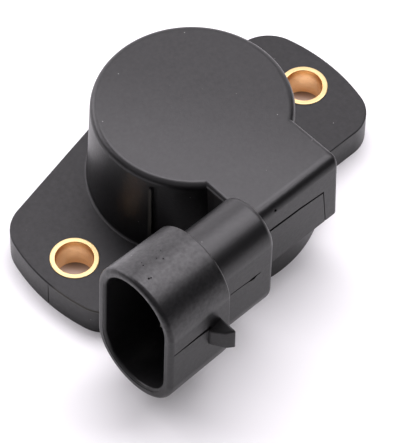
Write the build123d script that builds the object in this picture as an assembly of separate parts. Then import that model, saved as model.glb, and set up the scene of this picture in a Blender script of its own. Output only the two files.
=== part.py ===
from build123d import *
from math import asin, cos, degrees, radians, sin, tan
import os

# Throttle position sensor: a two-eared flange with a round cup, and a block beside the cup that carries
# a three-way connector. Millimetres. The rotor axis is the Z axis and z = 0 is the mounting face.

# Flange
FLANGE_THICKNESS = 5.0
FLANGE_EAR_REACH = 5.75
FLANGE_WAIST_RADIUS = 16.75
FLANGE_SIDE_ANGLE = 12.5
FLANGE_NEAR_SIDE = 11.4
FLANGE_FAR_CORNER = 6.0
FLANGE_NEAR_CORNER = 5.5
FLANGE_EDGE_RADIUS = 0.25
SEAL_LAND_RADIUS = 19.25

# Screw bushes in the flange ears
BOLT_SPACING = 46.0
BUSH_BORE_RADIUS = 2.8
BUSH_WALL = 0.8
BUSH_STANDOUT = 0.12
BUSH_CHAMFER = 0.25
BUSH_GROOVE_DEPTH = 0.35
BUSH_GROOVE_WIDTH = 1.4

# Cup over the rotor
CUP_BASE_RADIUS = 15.2
CUP_HEIGHT = 15.8
CUP_DRAFT = 2.1
CUP_ROOF = 2.4
CUP_WALL = 2.7
CUP_ROOT_SIZE = 0.4
CUP_ROOT_SLOPE = 45.0
CUP_EDGE_RADIUS = 1.1

# Block beside the cup
BLOCK_HALF_WIDTH = 8.5
BLOCK_REACH = 21.4
BLOCK_UNDERSIDE = 8.4
BLOCK_FRONT_DRAFT = 2.1
BLOCK_CORNER_RADIUS = 0.7
BLOCK_EDGE_RADIUS = 1.45

# Connector: neck and shroud along -X
CONNECTOR_OFFSET = 20.4
CONNECTOR_HEIGHT = 14.8
SHROUD_MOUTH = 30.3
SHROUD_BACK = 19.0
SHROUD_HALF_WIDTH = 7.42
SHROUD_HALF_HEIGHT = 12.3
SHROUD_FLAT_HALF = 5.3
SHROUD_CORNER_RADIUS = 2.4
SHROUD_DRAFT = 1.2
SHROUD_WALL = 1.6
PLUG_FLAT_HALF = 4.8
PLUG_CORNER_RADIUS = 1.4
SHROUD_FLOOR_WALL = 0.5
SHROUD_RIM_RADIUS = 0.75
SHROUD_BACK_RADIUS = 0.6
NECK_HALF_WIDTH = 4.85
NECK_HALF_HEIGHT = 9.85
NECK_FLAT_HALF = 5.0
NECK_CORNER_RADIUS = 1.6
NECK_SINK = 0.3
NECK_END_RADIUS = 0.9

# Latch nub on the shroud's outer flat
NUB_BACK = 20.8
NUB_LENGTH = 2.4
NUB_HEIGHT = 2.9
NUB_RAMP_RUN = 1.2
NUB_RAMP_RISE = 2.0
NUB_WIDTH = 4.2
NUB_LIFT = 0.4
NUB_EDGE_RADIUS = 0.35

# Terminals
BLADE_WIDTH = 2.8
BLADE_THICKNESS = 0.8
BLADE_PITCH = 5.0
BLADE_RECESS = 6.0
BLADE_TIP_CHAMFER = 0.22
STRIP_WIDTH = 1.4
STRIP_START = 12.0
JOG_START = 17.5
JOG_LENGTH = 4.0
LEG_PITCH = 3.6
LEG_TOP_LEVEL = 16.0
LEG_STEP = 3.1
TAIL_INSET = 1.2
TAIL_THICKNESS = 0.8
TAIL_WIDTH = 1.2

# Track board and its print
BOARD_THICKNESS = 1.0
BOARD_EDGE_GAP = 1.6
BOARD_TAB_HALF_WIDTH = 5.2
BOARD_TAB_EDGE = 0.4
BOARD_HOLE_CLEARANCE = 0.1
PRINT_THICKNESS = 0.1
TRACK_START_ANGLE = 35.0
TRACK_END_ANGLE = 155.0
RESISTOR_RADIUS = 8.2
RESISTOR_WIDTH = 1.4
COLLECTOR_RADIUS = 5.8
COLLECTOR_WIDTH = 1.4
TRACE_WIDTH = 0.8
PAD_LENGTH = 2.0
PAD_WIDTH = 1.4
PRINT_MARGIN = 0.4

# Rotor
ROTOR_HUB_WALL = 2.0
ROTOR_RUNNING_CLEARANCE = 0.1
ROTOR_LOWER_END = 0.3
ROTOR_DISC_GAP = 0.8
ROTOR_DISC_LEVEL = 12.0
ROTOR_DISC_THICKNESS = 1.6
ROTOR_TOP = 14.4
SOCKET_RADIUS = 4.0
SOCKET_FLAT = 2.8
SOCKET_DEPTH = 9.0
SOCKET_LEAD_IN = 0.5
PIVOT_RADIUS = 2.0
PIVOT_CLEARANCE = 0.06
PIVOT_LENGTH = 6.4
PIVOT_END_GAP = 0.3
THRUST_BOSS_RADIUS = 3.2
THRUST_GAP = 0.05
LUG_REST_ANGLE = 45.0
LUG_SPAN = 16.0
LUG_CLEARANCE = 0.4
ROTOR_TRAVEL = 95.0
STOP_SPAN = 8.0
STOP_GAP = 0.6
STOP_DEPTH = 1.4
STOP_HEIGHT = 6.4

# Wiper
WIPER_THICKNESS = 0.25
WIPER_BASE_LENGTH = 1.6
FINGER_WIDTH = 1.0
FINGER_REACH = 3.0
CONTACT_RADIUS = 0.4
CONTACT_GAP = 0.02
STAKE_RADIUS = 0.5
STAKE_HEAD_RADIUS = 0.75
STAKE_HEAD_HEIGHT = 0.35
STAKE_CLEARANCE = 0.05
STAKE_PITCH = 1.7

# Return spring
SPRING_WIRE_RADIUS = 0.35
SPRING_HUB_GAP = 0.85
SPRING_TURNS = 5.5
SPRING_SEAT_GAP = 0.2
SPRING_START_ANGLE = 200.0
SPRING_LOWER_LEG = 7.0
SPRING_UPPER_LEG = 5.5
PEG_RADIUS = 0.7
PEG_SETBACK = 1.0
PEG_GAP = 0.05
PEG_OVERHANG = 0.6

# Base cover and seal
COVER_THICKNESS = 1.8
COVER_LEDGE = 0.6
COVER_FIT = 0.05
COLLAR_MARGIN = 0.85
COLLAR_TOP = 4.2
SEAL_INNER_WALL = 0.85
SEAL_SECTION_RADIUS = 0.75
SEAL_GROOVE_WIDTH = 1.8
SEAL_LIFT = 0.02

# Sizes and levels that follow from the ones above
FLANGE_TOP = FLANGE_THICKNESS
FLANGE_END_RADIUS = BOLT_SPACING / 2 + FLANGE_EAR_REACH
BUSH_OUTER_RADIUS = BUSH_BORE_RADIUS + BUSH_WALL
CAVITY_RADIUS = CUP_BASE_RADIUS - CUP_WALL
CUP_TOP = FLANGE_TOP + CUP_HEIGHT
SHROUD_FLOOR = SHROUD_BACK + SHROUD_FLOOR_WALL
CEILING = CUP_TOP - CUP_ROOF
TAIL_RADIUS = CAVITY_RADIUS - TAIL_INSET
LEG_PLACES = (-LEG_PITCH, 0.0, LEG_PITCH)
BOARD_RADIUS = CAVITY_RADIUS - BOARD_EDGE_GAP
BOARD_LEVEL = CEILING - BOARD_THICKNESS
PRINT_LEVEL = BOARD_LEVEL - PRINT_THICKNESS
ROTOR_HUB_RADIUS = SOCKET_RADIUS + ROTOR_HUB_WALL
STOP_RADIUS = CAVITY_RADIUS - STOP_DEPTH
ROTOR_DISC_RADIUS = STOP_RADIUS - ROTOR_DISC_GAP
LUG_RADIUS = CAVITY_RADIUS - LUG_CLEARANCE
DISC_TOP = ROTOR_DISC_LEVEL + ROTOR_DISC_THICKNESS
PIVOT_END = CEILING - PIVOT_LENGTH
SOCKET_TOP = ROTOR_LOWER_END + SOCKET_DEPTH
CONTACT_LEVEL = PRINT_LEVEL - CONTACT_GAP
SPRING_RADIUS = ROTOR_HUB_RADIUS + SPRING_HUB_GAP + SPRING_WIRE_RADIUS
SPRING_LOW = COLLAR_TOP + SPRING_SEAT_GAP + SPRING_WIRE_RADIUS
SPRING_HIGH = ROTOR_DISC_LEVEL - SPRING_SEAT_GAP - SPRING_WIRE_RADIUS
SPRING_END_ANGLE = SPRING_START_ANGLE + 360 * SPRING_TURNS
COVER_RADIUS = CAVITY_RADIUS + COVER_LEDGE
COLLAR_RADIUS = SPRING_RADIUS + SPRING_WIRE_RADIUS + COLLAR_MARGIN
SEAL_RADIUS = COVER_RADIUS + SEAL_INNER_WALL + SEAL_GROOVE_WIDTH / 2

GROUNDED = (Align.CENTER, Align.CENTER, Align.MIN)


def disc(radius, low, high):
    """Upright cylinder about the Z axis between two levels."""
    return Pos(0, 0, low) * Cylinder(radius, high - low, align=GROUNDED)


def slab(x_low, x_high, y_low, y_high, low, high):
    """Box between its lower and upper corners."""
    corner = (Align.MIN, Align.MIN, Align.MIN)
    return Pos(x_low, y_low, low) * Box(x_high - x_low, y_high - y_low, high - low, align=corner)


def polar(radius, angle):
    """Point at a radius and an angle about the Z axis."""
    return (radius * cos(radians(angle)), radius * sin(radians(angle)))


def ring_sector(inner, outer, start, end, low, high):
    """Part of an upright ring between two angles, under half a turn."""
    middle = (start + end) / 2
    outline = Polyline(polar(inner, start), polar(outer, start))
    outline += ThreePointArc(polar(outer, start), polar(outer, middle), polar(outer, end))
    outline += Polyline(polar(outer, end), polar(inner, end))
    outline += ThreePointArc(polar(inner, end), polar(inner, middle), polar(inner, start))
    return Pos(0, 0, low) * extrude(make_face(outline.edges()), high - low)


def crowned_section(half_width, half_height, flat_half, corner_radius, x):
    """Connector outline at a station on X: two upright flats joined by crowned ends."""
    place = Plane(origin=(x, -CONNECTOR_OFFSET, CONNECTOR_HEIGHT), x_dir=(0, 1, 0), z_dir=(1, 0, 0))
    right = Line((half_width, -flat_half), (half_width, flat_half))
    crown = ThreePointArc((half_width, flat_half), (0, half_height), (-half_width, flat_half))
    left = Line((-half_width, flat_half), (-half_width, -flat_half))
    keel = ThreePointArc((-half_width, -flat_half), (0, -half_height), (half_width, -flat_half))
    outline = make_face([right, crown, left, keel])
    return place * fillet(outline.vertices(), corner_radius)


def bush_body(x):
    """Brass limiter on one bolt centre, with a retaining groove round its middle."""
    length = FLANGE_THICKNESS + BUSH_STANDOUT
    body = Cylinder(BUSH_OUTER_RADIUS, length, align=GROUNDED)
    bore = Cylinder(BUSH_BORE_RADIUS, length, align=GROUNDED)
    body = body - bore - bush_groove()
    mouths = body.edges().filter_by(GeomType.CIRCLE)
    mouths = mouths.filter_by(lambda edge: abs(edge.radius - BUSH_BORE_RADIUS) < 1e-6)
    return Pos(x, 0, 0) * chamfer(mouths, BUSH_CHAMFER)


def bush_pocket(x):
    """Hole that a bush fills, with the rib of moulding that keys into its groove."""
    pocket = Cylinder(BUSH_OUTER_RADIUS, FLANGE_THICKNESS, align=GROUNDED) - bush_groove()
    return Pos(x, 0, 0) * pocket


def bush_groove():
    """Ring of moulding round the middle of a bush."""
    ring = Cylinder(BUSH_OUTER_RADIUS, BUSH_GROOVE_WIDTH, align=GROUNDED)
    ring -= Cylinder(BUSH_OUTER_RADIUS - BUSH_GROOVE_DEPTH, BUSH_GROOVE_WIDTH, align=GROUNDED)
    return Pos(0, 0, (FLANGE_THICKNESS - BUSH_GROOVE_WIDTH) / 2) * ring


def terminal(row, leg_x):
    """Stamped terminal: blade in the shroud, jogged strip in the neck, leg into the cup, upright tail."""
    blade_z = CONNECTOR_HEIGHT + row * BLADE_PITCH
    leg_z = LEG_TOP_LEVEL + (row - 1) * LEG_STEP
    half = BLADE_THICKNESS / 2
    tip = -(SHROUD_MOUTH - BLADE_RECESS)
    blade_low = -CONNECTOR_OFFSET - BLADE_WIDTH / 2
    blade_high = -CONNECTOR_OFFSET + BLADE_WIDTH / 2
    strip_low = blade_high - STRIP_WIDTH
    jog_end = -JOG_START + JOG_LENGTH
    blade = slab(tip, -JOG_START, blade_low, blade_high, blade_z - half, blade_z + half)
    blade = chamfer(blade.edges().group_by(Axis.X)[0], BLADE_TIP_CHAMFER)
    jog = Polyline(
        (-JOG_START, blade_z - half), (-JOG_START, blade_z + half),
        (jog_end, leg_z + half), (jog_end, leg_z - half), close=True)
    jog_face = Plane.XZ.offset(-blade_low) * make_face(jog)
    bend = extrude(jog_face, -BLADE_WIDTH)
    pad = slab(jog_end, -STRIP_START, blade_low, blade_high, leg_z - half, leg_z + half)
    strip = slab(-STRIP_START, leg_x + STRIP_WIDTH / 2, strip_low, blade_high, leg_z - half, leg_z + half)
    tail_y = -TAIL_RADIUS
    leg = slab(leg_x - STRIP_WIDTH / 2, leg_x + STRIP_WIDTH / 2, blade_high,
               tail_y + TAIL_THICKNESS / 2, leg_z - half, leg_z + half)
    tail = slab(leg_x - TAIL_WIDTH / 2, leg_x + TAIL_WIDTH / 2, tail_y - TAIL_THICKNESS / 2,
                tail_y + TAIL_THICKNESS / 2, leg_z - half, CEILING)
    return blade + bend + pad + strip + leg + tail


def flange():
    """Two-eared plate: far sides tangent to the waist, straight near sides, and the seal land's half disc."""
    run = 2 * FLANGE_END_RADIUS
    peak = FLANGE_WAIST_RADIUS / cos(radians(FLANGE_SIDE_ANGLE))
    drop = run * tan(radians(FLANGE_SIDE_ANGLE))
    outline = make_face(Polyline(
        (-run, -FLANGE_NEAR_SIDE), (-run, peak - drop), (0, peak),
        (run, peak - drop), (run, -FLANGE_NEAR_SIDE), close=True))
    outline = fillet(outline.vertices().sort_by(Axis.Y)[-1], FLANGE_WAIST_RADIUS)
    outline = outline & Circle(FLANGE_END_RADIUS)
    outline = fillet(outline.vertices().group_by(Axis.Y)[-2], FLANGE_FAR_CORNER)
    outline = fillet(outline.vertices().group_by(Axis.Y)[0], FLANGE_NEAR_CORNER)
    near_half = Pos(0, -SEAL_LAND_RADIUS) * Rectangle(2 * SEAL_LAND_RADIUS, 2 * SEAL_LAND_RADIUS)
    outline = outline + (Circle(SEAL_LAND_RADIUS) & near_half)
    plate = extrude(outline, FLANGE_THICKNESS)
    return fillet(plate.edges().group_by(Axis.Z)[-1], FLANGE_EDGE_RADIUS)


def cup_and_block():
    """Drafted cup and the block beside it, with one rounded edge round their common top."""
    cup = Pos(0, 0, FLANGE_TOP) * extrude(Circle(CUP_BASE_RADIUS), CUP_HEIGHT, taper=CUP_DRAFT)
    cup = fillet(cup.edges().group_by(Axis.Z)[-1], CUP_EDGE_RADIUS)
    lean = (CUP_TOP - BLOCK_UNDERSIDE) * tan(radians(BLOCK_FRONT_DRAFT))
    profile = make_face(Polyline(
        (0, BLOCK_UNDERSIDE), (-BLOCK_REACH, BLOCK_UNDERSIDE), (lean - BLOCK_REACH, CUP_TOP), (0, CUP_TOP),
        close=True))
    front_top = profile.vertices().group_by(Axis.Y)[-1].sort_by(Axis.X)[0]
    profile = fillet(front_top, BLOCK_EDGE_RADIUS)
    block = Plane.YZ.offset(-BLOCK_HALF_WIDTH) * extrude(profile, 2 * BLOCK_HALF_WIDTH)
    for side in (0, -1):
        end = block.faces().sort_by(Axis.X)[side]
        free = end.edges().filter_by(lambda edge: edge.center().Y < -1e-3)
        free = free.filter_by(lambda edge: edge.center().Z > BLOCK_UNDERSIDE + 1e-3)
        block = fillet(free, BLOCK_CORNER_RADIUS)
    foot = disc(SEAL_LAND_RADIUS, FLANGE_TOP, BLOCK_UNDERSIDE)
    foot &= slab(-BLOCK_HALF_WIDTH, BLOCK_HALF_WIDTH, -BLOCK_REACH, 0, FLANGE_TOP, BLOCK_UNDERSIDE)
    root = extrude(Circle(CUP_BASE_RADIUS + CUP_ROOT_SIZE), CUP_ROOT_SIZE, taper=CUP_ROOT_SLOPE)
    root = Pos(0, 0, FLANGE_TOP) * root
    return cup + block + foot + root


def connector():
    """Neck and hollow shroud of the connector."""
    neck_end = -BLOCK_HALF_WIDTH + NECK_SINK
    waist = crowned_section(
        NECK_HALF_WIDTH, NECK_HALF_HEIGHT, NECK_FLAT_HALF, NECK_CORNER_RADIUS, -SHROUD_BACK)
    neck = extrude(waist, SHROUD_BACK + neck_end)
    neck = fillet(neck.faces().sort_by(Axis.X)[-1].edges(), NECK_END_RADIUS)
    mouth = crowned_section(
        SHROUD_HALF_WIDTH, SHROUD_HALF_HEIGHT, SHROUD_FLAT_HALF, SHROUD_CORNER_RADIUS, -SHROUD_MOUTH)
    shroud = extrude(mouth, SHROUD_MOUTH - SHROUD_BACK, taper=SHROUD_DRAFT)
    shroud = fillet(shroud.faces().sort_by(Axis.X)[0].edges(), SHROUD_RIM_RADIUS)
    shroud = fillet(shroud.faces().sort_by(Axis.X)[-1].edges(), SHROUD_BACK_RADIUS)
    return neck + shroud


def connector_cavity():
    """Space inside the shroud that takes the harness plug."""
    opening = crowned_section(
        SHROUD_HALF_WIDTH - SHROUD_WALL, SHROUD_HALF_HEIGHT - SHROUD_WALL,
        PLUG_FLAT_HALF, PLUG_CORNER_RADIUS, -SHROUD_MOUTH)
    return extrude(opening, SHROUD_MOUTH - SHROUD_FLOOR, taper=SHROUD_DRAFT)


def latch_nub():
    """Wedge on the shroud's outer flat that the plug's latch snaps behind."""
    root = -CONNECTOR_OFFSET - SHROUD_HALF_WIDTH + SHROUD_WALL / 2
    face = -CONNECTOR_OFFSET - SHROUD_HALF_WIDTH
    front = -NUB_BACK - NUB_LENGTH
    profile = make_face(Polyline(
        (front, root), (front, face), (front + NUB_RAMP_RUN, face - NUB_RAMP_RISE),
        (-NUB_BACK, face - NUB_HEIGHT), (-NUB_BACK, root), close=True))
    low = CONNECTOR_HEIGHT + NUB_LIFT - NUB_WIDTH / 2
    nub = Pos(0, 0, low) * extrude(profile, NUB_WIDTH)
    return fillet(nub.edges().group_by(Axis.Y)[0], NUB_EDGE_RADIUS)


def housing(inserts):
    """The black moulding, with the pockets that its inserts fill."""
    body = flange() + cup_and_block() + connector() + latch_nub()
    body -= connector_cavity()
    body -= disc(CAVITY_RADIUS, 0, CEILING)
    body -= disc(COVER_RADIUS, 0, COVER_THICKNESS)
    pivot = disc(PIVOT_RADIUS, PIVOT_END, CEILING)
    boss = disc(THRUST_BOSS_RADIUS, ROTOR_TOP + THRUST_GAP, CEILING)
    body = body + pivot + boss
    for stop_angle in stop_angles():
        low = CEILING - STOP_HEIGHT
        body += ring_sector(STOP_RADIUS, COVER_RADIUS, stop_angle - STOP_SPAN / 2,
                            stop_angle + STOP_SPAN / 2, low, CEILING)
    groove = disc(SEAL_RADIUS + SEAL_GROOVE_WIDTH / 2, 0, 2 * SEAL_SECTION_RADIUS + SEAL_LIFT)
    groove -= disc(SEAL_RADIUS - SEAL_GROOVE_WIDTH / 2, 0, 2 * SEAL_SECTION_RADIUS + SEAL_LIFT)
    body -= groove
    for bolt_x in (-BOLT_SPACING / 2, BOLT_SPACING / 2):
        body -= bush_pocket(bolt_x)
    for insert in inserts:
        body -= insert
    return body


def stop_angles():
    """Angles of the two ribs that end the rotor's travel."""
    reach = (LUG_SPAN + STOP_SPAN) / 2 + STOP_GAP
    return (LUG_REST_ANGLE - reach, LUG_REST_ANGLE + ROTOR_TRAVEL + reach)


def track_board():
    """Board under the roof, with a tab that the terminal tails pass through."""
    board = disc(BOARD_RADIUS, BOARD_LEVEL, CEILING)
    tab_edge = -TAIL_RADIUS - TAIL_THICKNESS / 2 - BOARD_TAB_EDGE
    board += slab(-BOARD_TAB_HALF_WIDTH, BOARD_TAB_HALF_WIDTH, tab_edge, 0, BOARD_LEVEL, CEILING)
    board &= disc(CAVITY_RADIUS - COVER_FIT, BOARD_LEVEL, CEILING)
    board -= disc(THRUST_BOSS_RADIUS + BOARD_HOLE_CLEARANCE, BOARD_LEVEL, CEILING)
    for leg_x in LEG_PLACES:
        board -= tail_hole(leg_x, BOARD_LEVEL, CEILING)
    return board


def tail_hole(leg_x, low, high):
    """Clearance slot round one terminal tail."""
    half_x = TAIL_WIDTH / 2 + BOARD_HOLE_CLEARANCE
    half_y = TAIL_THICKNESS / 2 + BOARD_HOLE_CLEARANCE
    return slab(leg_x - half_x, leg_x + half_x, -TAIL_RADIUS - half_y, -TAIL_RADIUS + half_y, low, high)


def printed_arc(radius, width, start, end):
    """Printed band on the underside of the board."""
    return ring_sector(radius - width / 2, radius + width / 2, start, end, PRINT_LEVEL, BOARD_LEVEL)


def printed_lead(radius, start, end, leg_x):
    """Printed lead from a track's end round to the pad on one terminal tail."""
    lead = printed_arc(radius, TRACE_WIDTH, start, end)
    landing = -abs(polar(radius, end)[1])
    lead += slab(leg_x - TRACE_WIDTH / 2, leg_x + TRACE_WIDTH / 2, -TAIL_RADIUS, landing,
                 PRINT_LEVEL, BOARD_LEVEL)
    lead += slab(leg_x - PAD_LENGTH / 2, leg_x + PAD_LENGTH / 2, -TAIL_RADIUS - PAD_WIDTH / 2,
                 -TAIL_RADIUS + PAD_WIDTH / 2, PRINT_LEVEL, BOARD_LEVEL)
    lead &= disc(CAVITY_RADIUS - PRINT_MARGIN, PRINT_LEVEL, BOARD_LEVEL)
    return lead - tail_hole(leg_x, PRINT_LEVEL, BOARD_LEVEL)


def landing_angle(radius, leg_x):
    """Angle at which a printed arc stands over a terminal tail."""
    return 270 + degrees(asin(leg_x / radius))


def rotor():
    """Drum with the D-shaped drive socket, the contact disc, the stop lug and the wiper stakes."""
    hub = disc(ROTOR_HUB_RADIUS, ROTOR_LOWER_END, DISC_TOP)
    plate = disc(ROTOR_DISC_RADIUS, ROTOR_DISC_LEVEL, DISC_TOP)
    lug = ring_sector(ROTOR_HUB_RADIUS, LUG_RADIUS, LUG_REST_ANGLE - LUG_SPAN / 2,
                      LUG_REST_ANGLE + LUG_SPAN / 2, ROTOR_DISC_LEVEL, DISC_TOP)
    thrust_face = disc(THRUST_BOSS_RADIUS, DISC_TOP, ROTOR_TOP)
    body = hub + plate + lug + thrust_face
    flat = slab(SOCKET_FLAT, SOCKET_RADIUS, -SOCKET_RADIUS, SOCKET_RADIUS, ROTOR_LOWER_END, SOCKET_TOP)
    socket = disc(SOCKET_RADIUS, ROTOR_LOWER_END, SOCKET_TOP) - flat
    body -= socket
    mouth = body.faces().sort_by(Axis.Z)[0].inner_wires()[0].edges()
    body = chamfer(mouth, SOCKET_LEAD_IN)
    body -= disc(PIVOT_RADIUS + PIVOT_CLEARANCE, PIVOT_END - PIVOT_END_GAP, ROTOR_TOP)
    peg_x, peg_y = peg_place(SPRING_END_ANGLE, SPRING_UPPER_LEG - PEG_SETBACK)
    peg_low = SPRING_HIGH - SPRING_WIRE_RADIUS - PEG_OVERHANG
    body += Pos(peg_x, peg_y) * disc(PEG_RADIUS, peg_low, ROTOR_DISC_LEVEL)
    for stake_x, stake_y in stake_places():
        head_level = DISC_TOP + WIPER_THICKNESS
        body += Pos(stake_x, stake_y) * disc(STAKE_RADIUS, DISC_TOP, head_level)
        head = disc(STAKE_HEAD_RADIUS, head_level, head_level + STAKE_HEAD_HEIGHT)
        body += Pos(stake_x, stake_y) * head
    return body


def wiper_frame(radius):
    """Frame on the rotor disc at a radius: X along the travel, Z up."""
    x, y = polar(radius, LUG_REST_ANGLE)
    along = (-sin(radians(LUG_REST_ANGLE)), cos(radians(LUG_REST_ANGLE)), 0)
    return Plane(origin=(x, y, DISC_TOP), x_dir=along, z_dir=(0, 0, 1))


def stake_places():
    """Centres of the two stakes that hold the wiper's base."""
    frame = wiper_frame((RESISTOR_RADIUS + COLLECTOR_RADIUS) / 2)
    centre = frame.origin - frame.x_dir * (FINGER_REACH + WIPER_BASE_LENGTH / 2)
    return [tuple(centre + frame.y_dir * offset)[:2] for offset in (-STAKE_PITCH / 2, STAKE_PITCH / 2)]


def wiper():
    """Sprung contact: a staked base and two fingers that rise to the tracks."""
    rise = CONTACT_LEVEL - CONTACT_RADIUS - DISC_TOP
    span = RESISTOR_RADIUS - COLLECTOR_RADIUS + FINGER_WIDTH
    base = Box(WIPER_BASE_LENGTH, span, WIPER_THICKNESS, align=(Align.MAX, Align.CENTER, Align.MIN))
    middle = wiper_frame((RESISTOR_RADIUS + COLLECTOR_RADIUS) / 2)
    spring = middle.location * Pos(-FINGER_REACH, 0, 0) * base
    for radius in (COLLECTOR_RADIUS, RESISTOR_RADIUS):
        profile = make_face(Polyline(
            (-FINGER_REACH, 0), (0, rise - WIPER_THICKNESS / 2), (0, rise + WIPER_THICKNESS / 2),
            (-FINGER_REACH, WIPER_THICKNESS), close=True))
        finger = extrude(Plane.XZ * profile, FINGER_WIDTH / 2, both=True)
        contact = Pos(0, 0, rise) * Rot(90, 0, 0) * Cylinder(CONTACT_RADIUS, FINGER_WIDTH)
        spring += wiper_frame(radius).location * (finger + contact)
    for stake_x, stake_y in stake_places():
        hole = disc(STAKE_RADIUS + STAKE_CLEARANCE, DISC_TOP, DISC_TOP + WIPER_THICKNESS)
        spring -= Pos(stake_x, stake_y) * hole
    return spring


def peg_place(angle, along):
    """Centre of the peg outside a straight spring leg, a distance along it from the coil's end."""
    reach = SPRING_RADIUS + SPRING_WIRE_RADIUS + PEG_GAP + PEG_RADIUS
    x = reach * cos(radians(angle)) - along * sin(radians(angle))
    y = reach * sin(radians(angle)) + along * cos(radians(angle))
    return (x, y)


def return_spring():
    """Torsion spring round the hub, with a straight tangent leg at each end."""
    coil = Helix((SPRING_HIGH - SPRING_LOW) / SPRING_TURNS, SPRING_HIGH - SPRING_LOW, SPRING_RADIUS)
    lower_leg = Line(coil @ 0 - coil % 0 * SPRING_LOWER_LEG, coil @ 0)
    upper_leg = Line(coil @ 1, coil @ 1 + coil % 1 * SPRING_UPPER_LEG)
    path = Wire([lower_leg.edge(), coil.edge(), upper_leg.edge()])
    section = Plane(origin=path @ 0, z_dir=path % 0) * Circle(SPRING_WIRE_RADIUS)
    wire = sweep(section, path=path, is_frenet=True)
    return Pos(0, 0, SPRING_LOW) * Rot(0, 0, SPRING_START_ANGLE) * wire


def base_cover():
    """Disc that closes the cup from below, with the collar that guides the rotor."""
    plate = disc(COVER_RADIUS - COVER_FIT, 0, COVER_THICKNESS)
    plate += disc(COLLAR_RADIUS, 0, COLLAR_TOP)
    plate -= disc(ROTOR_HUB_RADIUS + ROTOR_RUNNING_CLEARANCE, 0, COLLAR_TOP)
    peg_x, peg_y = peg_place(SPRING_START_ANGLE, PEG_SETBACK - SPRING_LOWER_LEG)
    peg_top = SPRING_LOW + SPRING_WIRE_RADIUS + PEG_OVERHANG
    plate += Pos(peg_x, peg_y) * disc(PEG_RADIUS, COVER_THICKNESS, peg_top)
    return plate


def seal_ring():
    """Ring in the groove of the mounting face."""
    return Pos(0, 0, SEAL_SECTION_RADIUS + SEAL_LIFT) * Torus(SEAL_RADIUS, SEAL_SECTION_RADIUS)


def build():
    """All the pieces, by name."""
    pieces = {}
    pieces["terminal_supply"] = terminal(1, LEG_PLACES[0])
    pieces["terminal_signal"] = terminal(0, LEG_PLACES[1])
    pieces["terminal_ground"] = terminal(-1, LEG_PLACES[2])
    pieces["housing"] = housing(list(pieces.values()))
    pieces["left_bush"] = bush_body(-BOLT_SPACING / 2)
    pieces["right_bush"] = bush_body(BOLT_SPACING / 2)
    pieces["track_board"] = track_board()
    supply_x, signal_x, ground_x = LEG_PLACES
    pieces["resistor_track"] = printed_arc(
        RESISTOR_RADIUS, RESISTOR_WIDTH, TRACK_START_ANGLE, TRACK_END_ANGLE)
    pieces["supply_trace"] = printed_lead(
        RESISTOR_RADIUS, TRACK_END_ANGLE, landing_angle(RESISTOR_RADIUS, supply_x), supply_x)
    pieces["ground_trace"] = printed_lead(
        RESISTOR_RADIUS, TRACK_START_ANGLE + 360, landing_angle(RESISTOR_RADIUS, ground_x), ground_x)
    collector = printed_arc(COLLECTOR_RADIUS, COLLECTOR_WIDTH, TRACK_START_ANGLE, TRACK_END_ANGLE)
    pieces["collector_track"] = collector + printed_lead(
        COLLECTOR_RADIUS, TRACK_END_ANGLE, landing_angle(COLLECTOR_RADIUS, signal_x), signal_x)
    pieces["rotor"] = rotor()
    pieces["wiper"] = wiper()
    pieces["return_spring"] = return_spring()
    pieces["base_cover"] = base_cover()
    pieces["seal_ring"] = seal_ring()
    return pieces


os.makedirs("parts", exist_ok=True)
for name, solid in build().items():
    export_step(solid, f"parts/{name}.step")
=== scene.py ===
import logging
from dataclasses import dataclass, field
from enum import Enum
from math import acos, atan2, ceil, cos, degrees, pi, radians, sin, sqrt, tan
from typing import Callable, Sequence

import bmesh
import bpy
from mathutils import Matrix, Quaternion, Vector


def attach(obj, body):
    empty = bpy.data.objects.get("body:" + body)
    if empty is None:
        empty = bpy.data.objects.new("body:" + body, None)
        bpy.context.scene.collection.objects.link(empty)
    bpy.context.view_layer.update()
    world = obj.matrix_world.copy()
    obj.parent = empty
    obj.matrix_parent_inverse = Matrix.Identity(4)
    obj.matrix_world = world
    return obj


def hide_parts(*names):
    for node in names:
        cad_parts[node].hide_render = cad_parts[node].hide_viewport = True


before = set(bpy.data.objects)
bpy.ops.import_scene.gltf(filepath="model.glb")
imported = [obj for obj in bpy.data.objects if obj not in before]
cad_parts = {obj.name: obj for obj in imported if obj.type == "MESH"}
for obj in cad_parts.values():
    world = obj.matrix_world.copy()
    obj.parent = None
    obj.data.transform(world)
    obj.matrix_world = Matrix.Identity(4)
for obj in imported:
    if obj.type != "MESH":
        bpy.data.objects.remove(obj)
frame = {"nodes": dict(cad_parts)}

log = logging.getLogger("throttle_sensor")

MM = 0.001
BODY = "sensor_body"
BOLT_SPACING = 46.0
# Distance in millimetres below which points of a solid are merged
MERGE = 1e-4
# Numbers of a Mix node's sockets for colours
MIX_FIRST = 6
MIX_SECOND = 7
MIX_RESULT = 2

Point = tuple[float, float]
Colour = tuple[float, float, float]
Ranges = tuple[Point, Point]
Loop = tuple[Point, ...]
Outline = Callable[[float], list[Point]]
Material = bpy.types.Material
Piece = bpy.types.Object
Socket = bpy.types.NodeSocket


# Shells and solids

@dataclass(frozen=True)
class Arc:
    """Arc of an outline: centre, radius and the angles of its two ends in degrees."""

    x: float
    y: float
    radius: float
    start: float
    end: float
    step: float = 2.5

    def points(self, inset: float = 0.0) -> list[Point]:
        """Points along the arc, moved towards its centre.

        Args:
            inset: distance that the points move towards the centre.

        Returns:
            The points from the start angle to the end angle.
        """
        count = max(2, ceil(abs(self.end - self.start) / self.step))
        reach = self.radius - inset
        angles = [radians(self.start + (self.end - self.start) * k / count) for k in range(count + 1)]
        return [(self.x + reach * cos(a), self.y + reach * sin(a)) for a in angles]


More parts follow.
